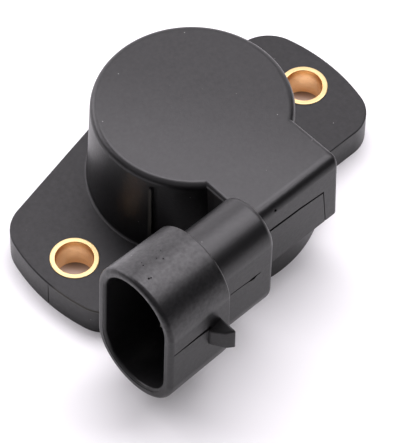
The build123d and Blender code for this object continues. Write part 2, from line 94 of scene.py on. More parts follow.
def quarter(steps: int, start: float = 0.0) -> list[Point]:
    """What a quarter round of radius one leaves off its two sides at each step, from an angle in degrees."""
    turns = [radians(start + (90.0 - start) * k / steps) for k in range(steps + 1)]
    return [(1 - cos(turn), 1 - sin(turn)) for turn in turns]


def skin(mesh: bmesh.types.BMesh, rings: Sequence[Sequence[Vector]], closed: bool = False) -> list[list]:
    """Spans faces from ring to ring.

    Args:
        mesh: the mesh that takes them.
        rings: loops of points, of equal length.
        closed: whether the last ring joins the first.

    Returns:
        The rings as points of the mesh.
    """
    loops = [[mesh.verts.new(point) for point in ring] for ring in rings]
    following = loops[1:] + (loops[:1] if closed else [])
    for lower, upper in zip(loops, following):
        for k in range(len(lower)):
            after = (k + 1) % len(lower)
            mesh.faces.new((lower[k], lower[after], upper[after], upper[k]))
    return loops


def link(name: str, data: bpy.types.ID) -> Piece:
    """Puts data into the scene as an object.

    Args:
        name: name of the object.
        data: its mesh, curve, lamp or camera.

    Returns:
        The object.
    """
    made = bpy.data.objects.new(name, data)
    bpy.context.scene.collection.objects.link(made)
    return made


def show(name: str, mesh: bmesh.types.BMesh) -> Piece:
    """Turns a mesh under construction into an object of the scene, with its faces outwards.

    Args:
        name: name of the object.
        mesh: the mesh, which is used up.

    Returns:
        The object.
    """
    bmesh.ops.recalc_face_normals(mesh, faces=mesh.faces)
    data = bpy.data.meshes.new(name)
    mesh.to_mesh(data)
    mesh.free()
    return link(name, data)


class Fuse(Enum):
    """How one solid is combined with another."""

    JOIN = "UNION"
    CUT = "DIFFERENCE"


class Solid:
    """A closed mesh in millimetres that can be joined to others and cut by them."""

    def __init__(self, name: str, rings: Sequence[Sequence[Vector]]) -> None:
        """Lofts a closed shell through rings of equal length.

        Args:
            name: name of the mesh.
            rings: the rings, each a loop of points, from one end to the other.
        """
        mesh = bmesh.new()
        loops = skin(mesh, rings)
        mesh.faces.new(list(reversed(loops[0])))
        mesh.faces.new(loops[-1])
        self.body = show(name, mesh)

    def combine(self, other: "Solid", how: Fuse) -> "Solid":
        """Joins another solid to this one or cuts it away, and uses that other solid up.

        Args:
            other: the second solid.
            how: join or cut.

        Returns:
            This solid.
        """
        modifier = self.body.modifiers.new("combine", "BOOLEAN")
        modifier.operation = how.value
        modifier.solver = "EXACT"
        modifier.object = other.body
        self.settle()
        spent = other.body.data
        bpy.data.objects.remove(other.body)
        bpy.data.meshes.remove(spent)
        return self

    def settle(self) -> None:
        """Turns the modified shape into the solid's own plain mesh."""
        graph = bpy.context.evaluated_depsgraph_get()
        fresh = bpy.data.meshes.new_from_object(self.body.evaluated_get(graph))
        self.body.modifiers.clear()
        spent = self.body.data
        self.body.data = fresh
        bpy.data.meshes.remove(spent)

    def soften(self, width: float, segments: int) -> "Solid":
        """Rounds every edge of a plain solid.

        Args:
            width: size of the rounding.
            segments: number of strips in it.

        Returns:
            This solid.
        """
        modifier = self.body.modifiers.new("soften", "BEVEL")
        modifier.width = width
        modifier.segments = segments
        modifier.limit_method = "ANGLE"
        self.settle()
        return self

    def finish(self, name: str, crease: float = 32.0) -> Piece:
        """Turns the solid into a smoothly shaded piece in metres.

        Args:
            name: name of the piece.
            crease: angle in degrees above which an edge stays sharp.

        Returns:
            The piece.
        """
        mesh = bmesh.new()
        mesh.from_mesh(self.body.data)
        bmesh.ops.remove_doubles(mesh, verts=mesh.verts, dist=MERGE)
        bmesh.ops.dissolve_degenerate(mesh, edges=mesh.edges, dist=MERGE)
        bmesh.ops.recalc_face_normals(mesh, faces=mesh.faces)
        bmesh.ops.scale(mesh, vec=(MM, MM, MM), verts=mesh.verts)
        mesh.to_mesh(self.body.data)
        mesh.free()
        self.body.data.shade_smooth()
        self.body.data.set_sharp_from_angle(angle=radians(crease))
        weights = self.body.modifiers.new("weights", "WEIGHTED_NORMAL")
        weights.keep_sharp = True
        weights.weight = 100
        self.settle()
        self.body.name = name
        self.body.data.name = name
        return self.body


def level(points: Sequence[Point], z: float) -> list[Vector]:
    """Lays an outline at a height."""
    return [Vector((x, y, z)) for x, y in points]


def circle(radius: float, x: float = 0.0, y: float = 0.0, step: float = 2.0) -> list[Point]:
    """Full circle as a loop without a doubled end point."""
    return Arc(x, y, radius, 0.0, 360.0, step).points()[:-1]


def prism(name: str, outline: Outline, low: float, high: float, edge: float = 0.0, steps: int = 7) -> Solid:
    """Upright solid on an outline, with a rounded upper edge.

    Args:
        name: name of the solid.
        outline: gives the loop of points for an inset.
        low: lower end.
        high: upper end.
        edge: radius of the rounded edge, or nought for a sharp one.
        steps: strips in the rounding.

    Returns:
        The solid.
    """
    rings = [level(outline(0.0), low)]
    if edge:
        rings += [level(outline(edge * across), high - edge * along) for across, along in quarter(steps)]
    else:
        rings.append(level(outline(0.0), high))
    return Solid(name, rings)


def turned(name: str, profile: Sequence[Point], x: float = 0.0, step: float = 2.0) -> Solid:
    """Solid of revolution about an upright axis at X, from the radius and height of each ring."""
    return Solid(name, [level(circle(radius, x, 0.0, step), z) for radius, z in profile])


def drum(name: str, radius: float, low: float, high: float, x: float = 0.0) -> Solid:
    """Plain upright cylinder."""
    return turned(name, [(radius, low), (radius, high)], x)


# Shader maths

class Value:
    """A number on a shader socket, with the operators that build Math nodes."""

    def __init__(self, tree: "Tree", socket: Socket) -> None:
        """Wraps a socket of a tree."""
        self.tree = tree
        self.socket = socket

    def _math(self, operation: str, *terms: "Value | float") -> "Value":
        """Adds a Math node on the terms given."""
        node = self.tree.node("ShaderNodeMath", {"operation": operation}, dict(enumerate(terms)))
        return Value(self.tree, node.outputs[0])

    def __add__(self, other: "Value | float") -> "Value":
        """Sum."""
        return self._math("ADD", self, other)

    __radd__ = __add__

    def __sub__(self, other: "Value | float") -> "Value":
        """Difference."""
        return self._math("SUBTRACT", self, other)

    def __rsub__(self, other: float) -> "Value":
        """Difference from a number."""
        return self._math("SUBTRACT", other, self)

    def __mul__(self, other: "Value | float") -> "Value":
        """Product."""
        return self._math("MULTIPLY", self, other)

    __rmul__ = __mul__

    def __abs__(self) -> "Value":
        """Size without sign."""
        return self._math("ABSOLUTE", self)

    def sine(self) -> "Value":
        """Sine."""
        return self._math("SINE", self)

    def span(self, other: "Value") -> "Value":
        """Length across two sides of a right angle."""
        return self._math("SQRT", self * self + other * other)

    def rise(self, low: float, high: float) -> "Value":
        """Smooth step from nought at the lower number to one at the higher."""
        node = self.tree.node("ShaderNodeMapRange", {"interpolation_type": "SMOOTHSTEP"},
                              {"Value": self, "From Min": low, "From Max": high})
        return Value(self.tree, node.outputs[0])

    def band(self, rising: Point, falling: Point) -> "Value":
        """One between two ranges, rising over the first and falling over the second."""
        return self.rise(*rising) * (1 - self.rise(*falling))


class Tree:
    """A node tree under construction."""

    def __init__(self, tree: bpy.types.NodeTree) -> None:
        """Takes a tree and empties it."""
        self.tree = tree
        self.tree.nodes.clear()

    def node(self, kind: str, settings: dict[str, object],
             sockets: dict[str | int, object]) -> bpy.types.Node:
        """Adds a node, sets it up and then fills its sockets.

        Args:
            kind: type of the node.
            settings: its own settings, set first.
            sockets: value, wrapped value or socket for each input, by name or number.

        Returns:
            The node.
        """
        made = self.tree.nodes.new(kind)
        for key, setting in settings.items():
            setattr(made, key, setting)
        for key, given in sockets.items():
            self.plug(made.inputs[key], given)
        return made

    def plug(self, socket: Socket, given: object) -> None:
        """Links a socket to a value or to another socket, or sets it to a number or a colour.

        Args:
            socket: the socket to fill.
            given: what fills it.
        """
        source = given.socket if isinstance(given, Value) else given
        if isinstance(source, Socket):
            self.tree.links.new(source, socket)
        elif socket.type == "RGBA":
            socket.default_value = (*source, 1.0)
        else:
            socket.default_value = source


class Paint(Tree):
    """A material under construction: its nodes, its coordinates in millimetres and its surface."""

    def __init__(self, name: str) -> None:
        """Makes an empty material with a surface and an output.

        Args:
            name: name of the material.
        """
        self.material = bpy.data.materials.new(name)
        self.material.use_nodes = True
        super().__init__(self.material.node_tree)
        self.surface = self.node("ShaderNodeBsdfPrincipled", {}, {})
        self.output = self.node("ShaderNodeOutputMaterial", {}, {"Surface": self.surface.outputs[0]})
        place = self.node("ShaderNodeTexCoord", {}, {}).outputs["Object"]
        scaled = self.node("ShaderNodeVectorMath", {"operation": "SCALE"}, {0: place, "Scale": 1.0 / MM})
        self.place = scaled.outputs[0]
        parts = self.node("ShaderNodeSeparateXYZ", {}, {0: self.place})
        self.x, self.y, self.z = (Value(self, socket) for socket in parts.outputs)

    def noise(self, scale: float, detail: float = 2.0) -> Value:
        """Soft noise from nought to one, with so many grains in a millimetre and so many finer layers."""
        made = self.node("ShaderNodeTexNoise", {}, {"Vector": self.place, "Scale": scale, "Detail": detail})
        return Value(self, made.outputs[0])

    def specks(self, spacing: float, size: float, core: float = 0.6) -> Value:
        """Sparse round specks: one where a random point of the cells happens to lie in the surface."""
        made = self.node("ShaderNodeTexVoronoi", {}, {"Vector": self.place, "Scale": 1.0 / spacing})
        return 1 - (Value(self, made.outputs["Distance"]) * spacing).rise(size * core, size)

    def blend(self, factor: Value, first: object, second: object) -> Socket:
        """Mixes two colours, each a colour or a socket, by a factor."""
        sockets = {0: factor, MIX_FIRST: first, MIX_SECOND: second}
        return self.node("ShaderNodeMix", {"data_type": "RGBA"}, sockets).outputs[MIX_RESULT]

    def emboss(self, height: Value, depth: float) -> None:
        """Raises the surface by a height of nought to one times a depth in millimetres."""
        made = self.node("ShaderNodeBump", {}, {"Height": height, "Distance": depth * MM})
        self.feed("Normal", made.outputs[0])

    def feed(self, name: str, given: object) -> None:
        """Sets or links an input of the surface."""
        self.plug(self.surface.inputs[name], given)


# Finishes

@dataclass(frozen=True)
class Finish:
    """Base of all finishes: a colour with a paler or darker second tone, mottled over the piece."""

    name: str
    colour: Colour
    second: Colour
    roughness: float
    metallic: float = 0.0
    mottle: float = 0.3
    grain: float = 4.0
    depth: float = 0.004
    grain_gloss: float = 0.12
    mottle_gloss: float = 0.08
    tones: Point = (0.3, 0.7)
    layers: float = 3.0

    def material(self) -> Material:
        """Makes the material of this finish.

        Returns:
            The material.
        """
        paint = Paint(self.name)
        paint.feed("Metallic", self.metallic)
        self.dress(paint)
        return paint.material

    def uneven(self, grain: Value, mottle: Value) -> Value:
        """Roughness that follows the grain and the mottling."""
        return self.roughness + self.grain_gloss * (grain - 0.5) + self.mottle_gloss * (mottle - 0.5)

    def dress(self, paint: Paint) -> None:
        """Colours a paint with mottled tones, uneven gloss and fine grain.

        Args:
            paint: the paint that takes the finish.
        """
        mottle = paint.noise(self.mottle, self.layers)
        grain = paint.noise(self.grain)
        paint.feed("Base Color", paint.blend(mottle.rise(*self.tones), self.colour, self.second))
        paint.feed("Roughness", self.uneven(grain, mottle))
        paint.emboss(grain, self.depth)


@dataclass(frozen=True)
class MouldedBlack(Finish):
    """Fine-grained black moulding, duller on its flange, with a few pale specks, painted highlights on the
    cup's rib and the left ear's near edge, and a coat that paints sheen and shade; places in millimetres.
    """

    grain_gloss: float = 0.10
    mottle_gloss: float = 0.10
    tones: Point = (0.25, 0.75)
    gloss: float = 0.22
    pale: Colour = (0.24, 0.235, 0.23)
    speck_spacing: float = 3.3
    speck_size: float = 0.10
    speck_share: float = 0.7
    # Paler colour painted on the cup's rib and on the left ear's upper edge as a highlight
    painted_highlight: Colour = (0.035, 0.033, 0.028)
    rib_place: Point = (-13.85, -5.87)
    rib_width: Point = (0.16, 0.34)
    rib_levels: Ranges = ((6.0, 12.0), (18.2, 18.9))
    brink_start: Point = (17.0, 19.0)
    brink_run: Ranges = ((-12.0, -11.0), (-2.4, -0.8))
    brink_levels: Ranges = ((4.55, 4.75), (4.975, 4.998))
    flange_levels: Point = (5.0, 6.0)
    flange_wear: float = 0.06
    wear_centre: Point = (-2.0, -7.0)
    wear_reach: Point = (4.0, 26.0)
    wear: float = 0.10
    coat: float = 0.24
    coat_roughness: float = 0.36
    side_coat: float = 0.19
    side_levels: Point = (4.7, 5.0)
    roof_coat: float = 0.09
    roof_levels: Point = (19.8, 20.6)
    mouth_edge: Point = (-30.1, -29.5)
    # Coat weights that paint a sheen on the roof's near side and the crown, and shade on the cup's near wall
    near_way: Point = (-0.85, -0.53)
    near_painted_sheen: float = 0.27
    near_roof: Point = (-6.0, 12.0)
    wall_painted_shade: float = 0.24
    near_wall: Point = (5.0, 12.0)
    cup_radius: Point = (15.6, 16.0)
    crown_painted_sheen: float = 0.08
    crown_run: Point = (17.0, 20.0)
    crown_levels: Point = (19.0, 23.0)
    cloud_scale: float = 1.7
    cloud_shares: Point = (0.28, 0.72)

    def rib(self, paint: Paint) -> Value:
        """One on the thin rib of the cup's wall, where a highlight is painted."""
        across = (paint.x - self.rib_place[0]).span(paint.y - self.rib_place[1])
        return (1 - across.rise(*self.rib_width)) * paint.z.band(*self.rib_levels)

    def brink(self, paint: Paint) -> Value:
        """One along the upper edge of the flange's left ear, on its near side, where a highlight is painted.
        """
        left = (paint.x * -1.0).rise(*self.brink_start)
        return left * paint.y.band(*self.brink_run) * paint.z.band(*self.brink_levels)

    def coating(self, paint: Paint, dull: Value) -> Value:
        """Weight of the coat: more on low sides, more on the roof's near side and the shroud's crown as a
        painted sheen, less on the cup's near wall as painted shade.

        Args:
            paint: the moulding's paint.
            dull: one on the flange.

        Returns:
            The weight, clouded most on the shroud's crown.
        """
        near = paint.x * self.near_way[0] + paint.y * self.near_way[1]
        roof = paint.z.rise(*self.roof_levels) * paint.x.rise(*self.mouth_edge)
        wall = (1 - paint.x.span(paint.y).rise(*self.cup_radius)) * (1 - roof) * (1 - dull)
        crown = (paint.x * -1.0).rise(*self.crown_run) * paint.z.rise(*self.crown_levels)
        weight = self.coat + self.side_coat * (1 - paint.z.rise(*self.side_levels))
        # Painted sheen on the roof's near side and the shroud's crown, painted shade on the cup's near wall
        weight = weight + roof * (self.roof_coat + self.near_painted_sheen * near.rise(*self.near_roof))
        weight = weight - self.wall_painted_shade * (wall * near.rise(*self.near_wall)) + self.crown_painted_sheen * crown
        plain, crowned = self.cloud_shares
        clouds = paint.noise(self.cloud_scale, self.layers)
        return weight + (clouds - 0.5) * (plain + crowned * crown)

    def dress(self, paint: Paint) -> None:
        """Colours the moulding and grains it.

        Args:
            paint: the paint that takes the finish.
        """
        mottle = paint.noise(self.mottle, self.layers)
        grain = paint.noise(self.grain, self.layers)
        specks = paint.specks(self.speck_spacing, self.speck_size)
        colour = paint.blend(mottle.rise(*self.tones), self.colour, self.second)
        colour = paint.blend(specks * self.speck_share, colour, self.pale)
        # Painted highlights: the cup's rib and the upper edge of the left ear take a paler colour
        colour = paint.blend(self.rib(paint), colour, self.painted_highlight)
        paint.feed("Base Color", paint.blend(self.brink(paint), colour, self.painted_highlight))
        dull = 1 - paint.z.rise(*self.flange_levels)
        away = (paint.x - self.wear_centre[0]).span(paint.y - self.wear_centre[1])
        worn = self.flange_wear * dull + self.wear * away.rise(*self.wear_reach)
        paint.feed("Roughness", self.uneven(grain, mottle) + worn)
        paint.feed("Specular IOR Level", self.gloss)
        paint.feed("Coat Weight", self.coating(paint, dull))
        paint.feed("Coat Roughness", self.coat_roughness)
        paint.emboss(grain, self.depth)


@dataclass(frozen=True)
class TurnedBrass(Finish):
    """Bright turned brass with fine rings about each screw hole; its bore is painted paler than the ring face
    as painted light, gold low down and red towards the top.
    """

    grain_gloss: float = 0.16
    ring_scale: float = 9.0
    bore: Point = (2.8, 2.92)
    bore_levels: Point = (3.4, 4.6)
    bore_gloss: float = 0.08
    bore_painted_light: Colour = (1.0, 0.71, 0.42)
    red: Colour = (0.66, 0.37, 0.14)

    def dress(self, paint: Paint) -> None:
        """Colours the brass and draws its turning rings.

        Args:
            paint: the paint that takes the finish.
        """
        radius = (abs(paint.x) - BOLT_SPACING / 2).span(paint.y)
        lathe = paint.node("ShaderNodeTexNoise", {"noise_dimensions": "1D"},
                           {"W": radius + paint.z, "Scale": self.ring_scale, "Detail": self.layers})
        rings = Value(paint, lathe.outputs[0])
        mottle = paint.noise(self.mottle)
        colour = paint.blend(mottle.rise(*self.tones), self.colour, self.second)
        # The bore takes paler tones than the ring face as painted light, gold low down and red near its top
        inside = 1 - radius.rise(*self.bore)
        bore = paint.blend(paint.z.rise(*self.bore_levels), self.bore_painted_light, self.red)
        paint.feed("Base Color", paint.blend(inside, colour, bore))
        paint.feed("Roughness", self.uneven(rings, mottle) - self.bore_gloss * inside)
        paint.emboss(rings, self.depth)


@dataclass(frozen=True)
class WovenLaminate(Finish):
    """Brown board laminate with the weave of its cloth showing through."""

    grain_gloss: float = 0.1
    pitch: float = 0.5
    weave_share: float = 0.6
    mottle_share: float = 0.3

    def dress(self, paint: Paint) -> None:
        """Colours the board with crossed threads.

        Args:
            paint: the paint that takes the finish.
        """
        turn = 2 * pi / self.pitch
        weave = (paint.x * turn).sine() * (paint.y * turn).sine() * 0.5 + 0.5
        tone = weave * self.weave_share + self.mottle_share * paint.noise(self.mottle)
        paint.feed("Base Color", paint.blend(tone, self.colour, self.second))
        paint.feed("Roughness", self.roughness + self.grain_gloss * (weave - 0.5))
        paint.emboss(weave, self.depth)


@dataclass(frozen=True)
class Finishes:
    """All the finishes of the sensor."""

    moulding: Finish = MouldedBlack(
        "black_moulding", (0.0036, 0.0034, 0.0038), (0.0052, 0.0050, 0.0055), 0.33,
        mottle=0.16, grain=3.2, depth=0.02)
    brass: Finish = TurnedBrass(
        "turned_brass", (0.49, 0.365, 0.18), (0.53, 0.405, 0.205), 0.36, 1.0, 0.5, depth=0.003)
    tin: Finish = Finish("tin_plate", (0.70, 0.69, 0.65), (0.62, 0.60, 0.55), 0.34, 1.0, 0.8, 6.0, 0.003)
    board: Finish = WovenLaminate(
        "board_laminate", (0.30, 0.19, 0.08), (0.42, 0.29, 0.14), 0.55, depth=0.006)
    ink: Finish = Finish(
        "carbon_print", (0.012, 0.012, 0.013), (0.02, 0.02, 0.02), 0.62, 0.0, 1.0, 9.0, 0.004)
    silver: Finish = Finish(
        "silver_print", (0.58, 0.57, 0.54), (0.66, 0.65, 0.62), 0.45, 0.7, 1.0, 9.0, 0.004)
    rotor: Finish = Finish(
        "rotor_moulding", (0.66, 0.64, 0.57), (0.72, 0.70, 0.64), 0.46, 0.0, 0.2, 4.0, 0.008)
    bronze: Finish = Finish(
        "contact_bronze", (0.62, 0.42, 0.20), (0.68, 0.48, 0.25), 0.32, 1.0, 1.0, 8.0, 0.002)
    steel: Finish = Finish("drawn_steel", (0.50, 0.50, 0.51), (0.58, 0.58, 0.58), 0.33, 1.0, 0.8, 7.0, 0.003)
    rubber: Finish = Finish(
        "seal_rubber", (0.018, 0.018, 0.019), (0.026, 0.026, 0.026), 0.58, 0.0, 0.4, 5.0, 0.006)


# Pieces

@dataclass
class Flange:
    """Two-eared plate with the half disc of the seal land, in millimetres."""

    thickness: float = 5.0
    bolt_spacing: float = BOLT_SPACING
    ear_reach: float = 5.75
    waist_radius: float = 16.75
    side_angle: float = 12.5
    near_side: float = 11.4
    far_corner: float = 6.0
    near_corner: float = 5.5
    edge: float = 0.25
    land_radius: float = 19.25

    def corner(self, facing: float, distance: float, radius: float) -> tuple[float, float]:
        """Centre of the arc that joins a straight side to the round end of an ear.

        Args:
            facing: direction that the side faces, in degrees.
            distance: distance of the side from the axis.
            radius: radius of the arc.

        Returns:
            The centre.
        """
        end = self.bolt_spacing / 2 + self.ear_reach
        turn = radians(facing)
        out = distance - radius
        along = sqrt((end - radius) ** 2 - out ** 2)
        side = 1.0 if facing > 0 else -1.0
        return (out * cos(turn) + side * along * sin(turn),
                out * sin(turn) - side * along * cos(turn))

    def outline(self, inset: float) -> list[Point]:
        """Outline of the plate without the seal land, going clockwise from the waist.

        Args:
            inset: distance that the outline moves inwards.

        Returns:
            The loop of points.
        """
        end = self.bolt_spacing / 2 + self.ear_reach
        facing = 90.0 - self.side_angle
        far = self.corner(facing, self.waist_radius, self.far_corner)
        near = self.corner(-90.0, self.near_side, self.near_corner)
        far_turn = degrees(atan2(far[1], far[0]))
        near_turn = degrees(atan2(near[1], near[0]))
        arcs = [
            Arc(0, 0, self.waist_radius, 90.0, facing),
            Arc(*far, self.far_corner, facing, far_turn),
            Arc(0, 0, end, far_turn, near_turn),
            Arc(*near, self.near_corner, near_turn, -90.0),
        ]
        right: list[Point] = []
        for arc in arcs:
            points = arc.points(inset)
            right += points[1:] if right else points
        left = [(-x, y) for x, y in reversed(right)]
        return right + left[:-1]

    def land(self, inset: float) -> list[Point]:
        """Half disc on the connector's side."""
        return Arc(0, 0, self.land_radius, 180.0, 360.0).points(inset)

    def solid(self) -> Solid:
        """Builds the plate with its land."""
        plate = prism("flange", self.outline, 0.0, self.thickness, self.edge)
        return plate.combine(prism("land", self.land, 0.0, self.thickness, self.edge), Fuse.JOIN)


@dataclass
class Cup:
    """Drafted cup over the rotor, with the block beside it, in millimetres."""

    base_radius: float = 15.2
    height: float = 15.8
    draft: float = 2.1
    edge: float = 1.1
    root: float = 0.45
    block_half_width: float = 8.5
    block_reach: float = 21.4
    block_underside: float = 8.4
    block_lean: float = 2.1
    block_corner: float = 0.7
    block_edge: float = 1.75
    step: float = 1.5

    def profile(self, floor: float) -> list[Point]:
        """Profile of the cup from inside the flange up to its roof.

        Args:
            floor: height of the flange's upper face.

        Returns:
            Radius and height of each ring.
        """
        slope = tan(radians(self.draft))
        top = floor + self.height
        foot = self.base_radius
        points = [(foot + self.root, floor - 1.0)]
        points += [(foot + self.root * along, floor + self.root * across) for across, along in quarter(5)]
        shoulder = self.base_radius - slope * (self.height - self.edge)
        rounding = quarter(12, self.draft)
        points += [(shoulder - self.edge * across, top - self.edge * along) for across, along in rounding]
        return points

    def block_ring(self, z: float, top: float) -> list[Vector]:
        """Section of the block at a height: a leaning front with a round upper edge and a rounded free corner.

        Args:
            z: height of the section.
            top: height of the block's roof.

        Returns:
            The loop of points.
        """
        def rounding(radius: float) -> float:
            """Distance that a rounded upper edge moves inwards at this height."""
            above = max(z - top + radius, 0.0)
            return radius - sqrt(max(radius ** 2 - above ** 2, 0.0))

        half = self.block_half_width - rounding(self.block_corner)
        reach = self.block_reach - (z - self.block_underside) * tan(radians(self.block_lean))
        reach -= rounding(self.block_edge)
        corner = self.block_corner
        rounded = Arc(half - corner, corner - reach, corner, 0.0, -90.0, 6.0).points()
        return level([(-half, 0.0), (half, 0.0), *rounded, (-half, -reach)], z)

    def block(self, top: float) -> Solid:
        """Builds the block beside the cup."""
        heights = [self.block_underside, *(top - self.block_edge * along for _, along in quarter(16))]
        return Solid("block", [self.block_ring(z, top) for z in heights])

    def foot_outline(self, radius: float) -> list[Point]:
        """Slice of the seal land's disc below the block.

        Args:
            radius: radius of the land.

        Returns:
            The loop of points.
        """
        half = self.block_half_width
        turn = degrees(acos(half / radius))
        return [(-half, 0.0), (half, 0.0), *Arc(0, 0, radius, -turn, turn - 180.0).points()]

    def solid(self, floor: float, land_radius: float) -> Solid:
        """Builds the cup with its block.

        Args:
            floor: height of the flange's upper face.
            land_radius: radius of the seal land below the block.

        Returns:
            The solid.
        """
        cup = turned("cup", self.profile(floor), step=self.step)
        slice_below = self.foot_outline(land_radius)
        foot = prism("foot", lambda inset: slice_below, floor - 1.0, self.block_underside + 0.5)
        return cup.combine(self.block(floor + self.height), Fuse.JOIN).combine(foot, Fuse.JOIN)


@dataclass
class Connector:
    """Neck, hollow shroud and latch nub along -X, in millimetres."""

    offset: float = 20.4
    height: float = 14.8
    mouth: float = 30.3
    back: float = 19.0
    half_width: float = 7.42
    half_height: float = 12.3
    flat_half: float = 5.3
    rake: float = 0.4
    draft: float = 1.2
    wall: float = 1.6
    floor: float = 19.5
    rim: float = 0.75
    lip: float = 0.42
    back_edge: float = 0.3
    plug_flat_half: float = 4.8
    plug_rake: float = 0.3
    plug_lift: float = 0.2
    neck_half_width: float = 4.85
    neck_half_height: float = 9.85
    neck_flat_half: float = 5.0
    neck_end: float = 8.2
    neck_edge: float = 0.9
    nub_back: float = 20.8
    nub_length: float = 2.4
    nub_height: float = 2.9
    nub_ramp_run: float = 1.2
    nub_ramp_rise: float = 2.0
    nub_width: float = 4.2
    nub_lift: float = 0.4
    nub_fall: float = 0.9
    nub_edge: float = 0.35

    def section(self, half_width: float, half_height: float, flat_half: float, inset: float, x: float,
                lean: float = 0.0) -> list[Vector]:
        """Crowned section at a station: two upright flats joined by round ends.

        Args:
            half_width: half of the width between the flats.
            half_height: half of the height over the crowns.
            flat_half: half of the length of a flat.
            inset: distance that the section moves inwards.
            x: the station.
            lean: how far the foot of the section stands towards the mouth.

        Returns:
            The loop of points.
        """
        rise = half_height - flat_half
        radius = (half_width ** 2 + rise ** 2) / (2 * rise)
        centre = half_height - radius
        tilt = degrees(atan2(flat_half - centre, half_width))
        crown = Arc(0, centre, radius, tilt, 180.0 - tilt, 3.0).points(inset)
        keel = [(-y, -z) for y, z in crown]
        slant = lean / (2 * self.half_height)
        return [Vector((x - slant * (self.half_height - z), y - self.offset, z + self.height))
                for y, z in crown + keel]

    def shroud(self) -> Solid:
        """Outer form of the shroud, widest at its mouth, with rounded ends.

        Returns:
            The solid.
        """
        slope = tan(radians(self.draft))
        length = self.mouth - self.back
        edge = self.back_edge
        stations = [(self.rim * along, self.rim * across) for across, along in quarter(12)]
        stations += [(edge * across, length - edge * along) for across, along in quarter(6)]
        rings = [
            self.section(self.half_width, self.half_height, self.flat_half, inset + run * slope,
                         run - self.mouth, self.rake * (1 - run / length))
            for inset, run in stations
        ]
        return Solid("shroud", rings)

    def cavity(self) -> Solid:
        """Space inside the shroud, flared a little at the lip.

        Returns:
            The solid to cut away.
        """
        slope = tan(radians(self.draft))
        depth = self.mouth - self.floor
        flare = [(-self.lip * along, self.lip * across) for across, along in quarter(12)]
        stations = [(-self.lip, -1.0), *flare, (0.0, depth)]
        width = self.half_width - self.wall
        height = self.half_height - self.wall
        rings = [
            self.section(width, height, self.plug_flat_half, inset + max(run, 0.0) * slope, run - self.mouth,
                         self.plug_rake * (1 - max(run, 0.0) / depth))
            for inset, run in stations
        ]
        for ring in rings:
            for point in ring:
                point.z += self.plug_lift
        return Solid("plug_space", rings)

    def neck(self) -> Solid:
        """Neck from the shroud into the block, with a softened end.

        Returns:
            The solid.
        """
        edge = self.neck_edge
        end = [(edge * across, -self.neck_end - edge * along) for across, along in quarter(8)]
        rings = [self.section(self.neck_half_width, self.neck_half_height, self.neck_flat_half, inset, x)
                 for inset, x in [(0.0, -self.back - 0.5), *end]]
        return Solid("neck", rings)

    def nub(self) -> Solid:
        """Wedge on the outer flat that a plug's latch snaps behind.

        Returns:
            The solid.
        """
        face = -self.offset - self.half_width
        front = -self.nub_back - self.nub_length
        root = face + self.wall / 2
        ramp = (front + self.nub_ramp_run, face - self.nub_ramp_rise)
        peak = (-self.nub_back, face - self.nub_height)
        profile = [(front, root), (front, face), ramp, peak, (-self.nub_back, root)]
        low = self.height + self.nub_lift - self.nub_width / 2
        fall = self.nub_fall / self.nub_length
        top = [Vector((x, y, low + self.nub_width + fall * (x + self.nub_back))) for x, y in profile]
        return Solid("nub", [level(profile, low), top]).soften(self.nub_edge, 4)


@dataclass
class Interior:
    """What the housing holds inside the cup and in its mounting face, in millimetres."""

    cavity_radius: float = 12.5
    ceiling: float = 18.4
    cover_radius: float = 13.1
    cover_depth: float = 1.8
    groove_inner: float = 13.95
    groove_outer: float = 15.75
    groove_depth: float = 1.52
    pocket_radius: float = 3.62
    key_radius: float = 3.27
    key_levels: tuple[float, float] = (1.8, 3.2)
    pivot_radius: float = 2.0
    pivot_end: float = 12.0
    boss_radius: float = 3.2
    boss_end: float = 14.45
    stop_angles: tuple[float, float] = (32.4, 152.6)
    stop_span: float = 8.0
    stop_radius: float = 11.1
    stop_height: float = 6.4
    below: float = -1.0
    above: float = 8.0
    sink: float = 0.5

    def stop(self, angle: float) -> Solid:
        """Rib on the cup's wall that ends the rotor's travel.

        Args:
            angle: place of the rib, in degrees.

        Returns:
            The solid.
        """
        start, end = angle - self.stop_span / 2, angle + self.stop_span / 2
        outer = Arc(0, 0, self.cover_radius, start, end).points()
        inner = Arc(0, 0, self.stop_radius, end, start).points()
        low = self.ceiling - self.stop_height
        return prism("stop", lambda inset: outer + inner, low, self.ceiling + self.sink)

    def carve(self, body: Solid, bolts: Sequence[float]) -> None:
        """Cuts the hollow of the housing and adds what stands in it.

        Args:
            body: the housing's outer form.
            bolts: places of the two screw bushes on X.
        """
        body.combine(drum("hollow", self.cavity_radius, self.below, self.ceiling), Fuse.CUT)
        body.combine(drum("cover_seat", self.cover_radius, self.below, self.cover_depth), Fuse.CUT)
        groove = drum("groove", self.groove_outer, self.below, self.groove_depth)
        core = drum("groove_core", self.groove_inner, self.below - 1.0, self.groove_depth + 1.0)
        body.combine(groove.combine(core, Fuse.CUT), Fuse.CUT)
        low, high = self.key_levels
        for x in bolts:
            body.combine(drum("pocket", self.key_radius, self.below, self.above, x), Fuse.CUT)
            body.combine(drum("lower_pocket", self.pocket_radius, self.below, low, x), Fuse.CUT)
            body.combine(drum("upper_pocket", self.pocket_radius, high, self.above, x), Fuse.CUT)
        boss = drum("boss", self.boss_radius, self.boss_end, self.ceiling + self.sink)
        boss.combine(drum("pivot", self.pivot_radius, self.pivot_end, self.ceiling + self.sink), Fuse.JOIN)
        body.combine(boss, Fuse.JOIN)
        for angle in self.stop_angles:
            body.combine(self.stop(angle), Fuse.JOIN)


@dataclass(frozen=True)
class Strip:
    """Upright strip about the rotor axis: its two angles in degrees, its radii and its levels."""

    start: float
    end: float
    inner: float
    outer: float
    low: float
    high: float

    def solid(self) -> Solid:
        """Builds the strip.

        Returns:
            The solid.
        """
        out = Arc(0, 0, self.outer, self.start, self.end, 0.5).points()
        back = Arc(0, 0, self.inner, self.end, self.start, 0.5).points()
        return prism("strip", lambda inset: out + back, self.low, self.high)


